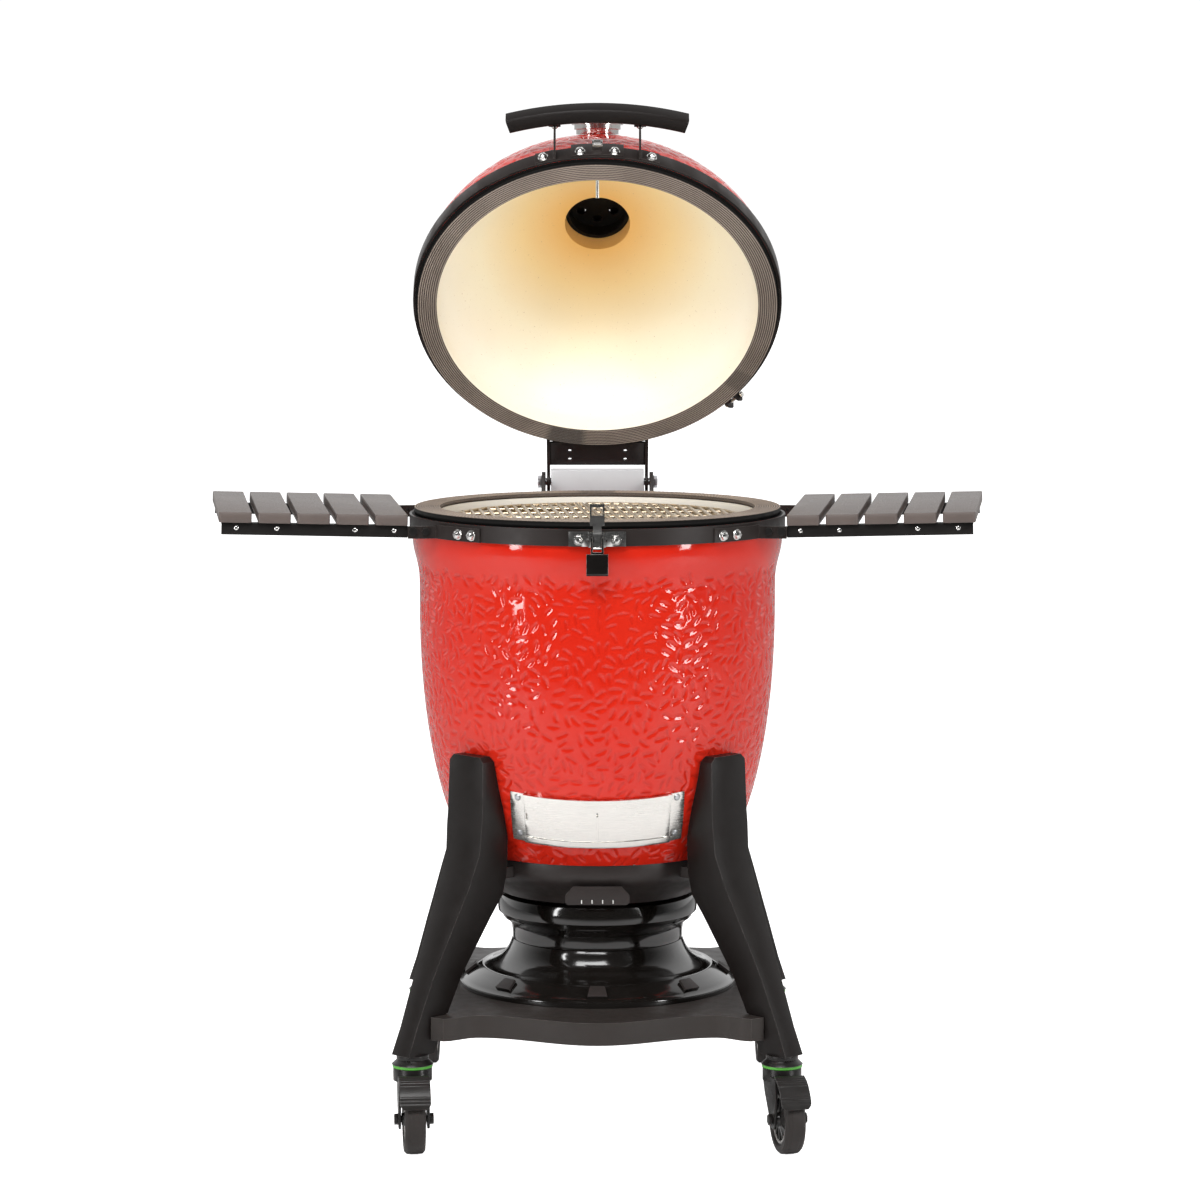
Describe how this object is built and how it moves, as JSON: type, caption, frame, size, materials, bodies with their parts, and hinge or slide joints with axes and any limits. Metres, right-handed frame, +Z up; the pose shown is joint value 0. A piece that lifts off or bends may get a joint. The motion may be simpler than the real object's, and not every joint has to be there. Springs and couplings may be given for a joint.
{
  "type": "kamado ceramic grill",
  "caption": "Red glazed ceramic kamado grill with a hinged dome, folding side shelves and a latch, on a black four-legged cart with swivel casters.",
  "frame": {"origin": "on the floor, under the middle of the overall footprint with the dome open; the bowl's axis is 20.4 mm behind it", "axes": "+Z up, the front (latch and draft door) faces -Y, +X to the right seen from the front"},
  "size_m": [1.2096, 0.7628, 1.5462],
  "materials": {
    "glazed_ceramic": "glossy glaze over an embossed grain pattern, cream inside",
    "woven_gasket": "woven fibreglass and wire mesh",
    "black_band": "satin black powder coat",
    "zinc": "zinc plated",
    "bright_steel": "polished stainless steel",
    "door_steel": "fine brushed stainless steel",
    "firebrick": "matt refractory ceramic",
    "cast_iron": "black cast iron",
    "grate_steel": "stainless steel rod",
    "collar_black": "satin black",
    "gloss_black": "gloss black enamel",
    "cart_black": "fine textured black powder coat",
    "caster_black": "black moulded and coated parts",
    "seal_green": "bright green plastic",
    "wheel_rubber": "grey black tread",
    "handle_black": "satin black moulding",
    "shelf_slat": "brushed dark grey coat",
    "shelf_rail": "satin black",
    "dial_white": "white dial",
    "needle_black": "black needle"
  },
  "bodies": {
    "cart_and_bowl": {"base_shell": "glazed_ceramic", "base_gasket": "woven_gasket", "base_band": "black_band", "hinge_bracket": "black_band", "hinge_pin": "zinc", "hinge_springs": "zinc", "spring_cover": "zinc", "latch_plate": "bright_steel", "band_bolts": "bright_steel", "shelf_brackets": "black_band", "shelf_pivots": "zinc", "draft_frame": "door_steel", "draft_screws": "zinc", "firebox": "firebrick", "fire_ring": "firebrick", "charcoal_grate": "cast_iron", "cooking_rack": "grate_steel", "collar": "collar_black", "scale_plate": "collar_black", "ash_skirt": "gloss_black", "skirt_clips": "collar_black", "lower_shelf": "cart_black", "legs": "cart_black", "leg_bolts": "zinc", "caster_mounts": "caster_black", "caster_seals": "seal_green"},
    "dome": {"dome_shell": "glazed_ceramic", "dome_gasket": "woven_gasket", "dome_band": "black_band", "dome_bolts": "bright_steel", "hinge_arm": "black_band", "handle": "handle_black", "handle_brackets": "black_band", "dome_catch": "bright_steel", "thermometer_case": "bright_steel", "thermometer_dial": "dial_white", "vent_base": "cast_iron"},
    "needle": {"thermometer_needle": "needle_black"},
    "vent_dial": {"vent_dial": "cast_iron"},
    "air_bell": {"air_bell": "gloss_black"},
    "draft_door": {"draft_door": "door_steel"},
    "latch_lever": {"latch_lever": "bright_steel"},
    "latch_bail": {"latch_bail": "bright_steel"},
    "left_shelf": {"left_shelf_rails": "shelf_rail", "left_shelf_slats": "shelf_slat"},
    "right_shelf": {"right_shelf_rails": "shelf_rail", "right_shelf_slats": "shelf_slat"},
    "left_grate": {"left_grate": "grate_steel"},
    "right_grate": {"right_grate": "grate_steel"},
    "front_left_caster": {"front_left_fork": "caster_black"},
    "front_left_wheel": {"front_left_wheel": "wheel_rubber"},
    "front_right_caster": {"front_right_fork": "caster_black"},
    "front_right_wheel": {"front_right_wheel": "wheel_rubber"},
    "rear_left_caster": {"rear_left_fork": "caster_black"},
    "rear_left_wheel": {"rear_left_wheel": "wheel_rubber"},
    "rear_right_caster": {"rear_right_fork": "caster_black"},
    "rear_right_wheel": {"rear_right_wheel": "wheel_rubber"},
    "front_left_brake": {"front_left_brake": "caster_black"},
    "front_right_brake": {"front_right_brake": "caster_black"}
  },
  "joints": [
    {"name": "dome_hinge", "type": "hinge", "parent": "cart_and_bowl", "child": "dome", "pos_m": [0, 0.3426, 0.943], "axis": [1, 0, 0], "range_deg": [-3, 53.1]},
    {"name": "thermometer_needle_turn", "type": "hinge", "parent": "dome", "child": "needle", "pos_m": [0, 0.11373, 1.51337], "axis": [0, -0.0366, -0.9993], "range_deg": [0, 250]},
    {"name": "vent_dial_turn", "type": "hinge", "parent": "dome", "child": "vent_dial", "pos_m": [0, 0.34872, 1.40152], "axis": [0, 0.7997, 0.6004], "range_deg": [0, 30]},
    {"name": "air_bell_turn", "type": "hinge", "parent": "cart_and_bowl", "child": "air_bell", "pos_m": [0, -0.0204, 0.293], "axis": [0, 0, 1], "range_deg": [-25, 25]},
    {"name": "draft_door_slide", "type": "hinge", "parent": "cart_and_bowl", "child": "draft_door", "pos_m": [0, -0.0204, 0.53275], "axis": [0, -0.2079, 0.9781], "range_deg": [-6, 6]},
    {"name": "latch_lever_turn", "type": "hinge", "parent": "cart_and_bowl", "child": "latch_lever", "pos_m": [0, -0.3194, 0.91], "axis": [1, 0, 0], "range_deg": [-100, 0]},
    {"name": "latch_bail_turn", "type": "hinge", "parent": "latch_lever", "child": "latch_bail", "pos_m": [0, -0.3194, 0.898], "axis": [1, 0, 0], "range_deg": [0, 100]},
    {"name": "left_shelf_fold", "type": "hinge", "parent": "cart_and_bowl", "child": "left_shelf", "pos_m": [-0.27406, -0.18945, 0.911], "axis": [0.1191, -0.9929, 0], "range_deg": [0, 90]},
    {"name": "right_shelf_fold", "type": "hinge", "parent": "cart_and_bowl", "child": "right_shelf", "pos_m": [0.27406, -0.18945, 0.911], "axis": [0.1191, 0.9929, 0], "range_deg": [0, 90]},
    {"name": "left_grate_lift", "type": "slide", "parent": "cart_and_bowl", "child": "left_grate", "axis": [0, 0, -1], "range_m": [-0.12, 0]},
    {"name": "right_grate_lift", "type": "slide", "parent": "cart_and_bowl", "child": "right_grate", "axis": [0, 0, -1], "range_m": [-0.12, 0]},
    {"name": "front_left_swivel", "type": "hinge", "parent": "cart_and_bowl", "child": "front_left_caster", "pos_m": [-0.274, -0.2944, 0.113], "axis": [0, 0, 1], "continuous": true},
    {"name": "front_left_roll", "type": "hinge", "parent": "front_left_caster", "child": "front_left_wheel", "pos_m": [-0.27102, -0.32425, 0.052], "axis": [0.9951, 0.0993, 0], "continuous": true},
    {"name": "front_left_brake_press", "type": "hinge", "parent": "front_left_caster", "child": "front_left_brake", "pos_m": [-0.27003, -0.3342, 0.111], "axis": [0.9951, 0.0993, 0], "range_deg": [-6, 2.5]},
    {"name": "front_right_swivel", "type": "hinge", "parent": "cart_and_bowl", "child": "front_right_caster", "pos_m": [0.274, -0.2944, 0.113], "axis": [0, 0, 1], "continuous": true},
    {"name": "front_right_roll", "type": "hinge", "parent": "front_right_caster", "child": "front_right_wheel", "pos_m": [0.28075, -0.32363, 0.052], "axis": [0.9744, 0.225, 0], "continuous": true},
    {"name": "front_right_brake_press", "type": "hinge", "parent": "front_right_caster", "child": "front_right_brake", "pos_m": [0.283, -0.33337, 0.111], "axis": [0.9744, 0.225, 0], "range_deg": [-6, 2.5]},
    {"name": "rear_left_swivel", "type": "hinge", "parent": "cart_and_bowl", "child": "rear_left_caster", "pos_m": [-0.274, 0.2536, 0.113], "axis": [0, 0, 1], "continuous": true},
    {"name": "rear_left_roll", "type": "hinge", "parent": "rear_left_caster", "child": "rear_left_wheel", "pos_m": [-0.27348, 0.2836, 0.052], "axis": [-0.9998, 0.0175, 0], "continuous": true},
    {"name": "rear_right_swivel", "type": "hinge", "parent": "cart_and_bowl", "child": "rear_right_caster", "pos_m": [0.274, 0.2536, 0.113], "axis": [0, 0, 1], "continuous": true},
    {"name": "rear_right_roll", "type": "hinge", "parent": "rear_right_caster", "child": "rear_right_wheel", "pos_m": [0.27348, 0.2836, 0.052], "axis": [-0.9998, -0.0175, 0], "continuous": true}
  ],
  "couplings": [
    {"joint": "latch_bail_turn", "follows": "latch_lever_turn", "ratio": -1}
  ]
}
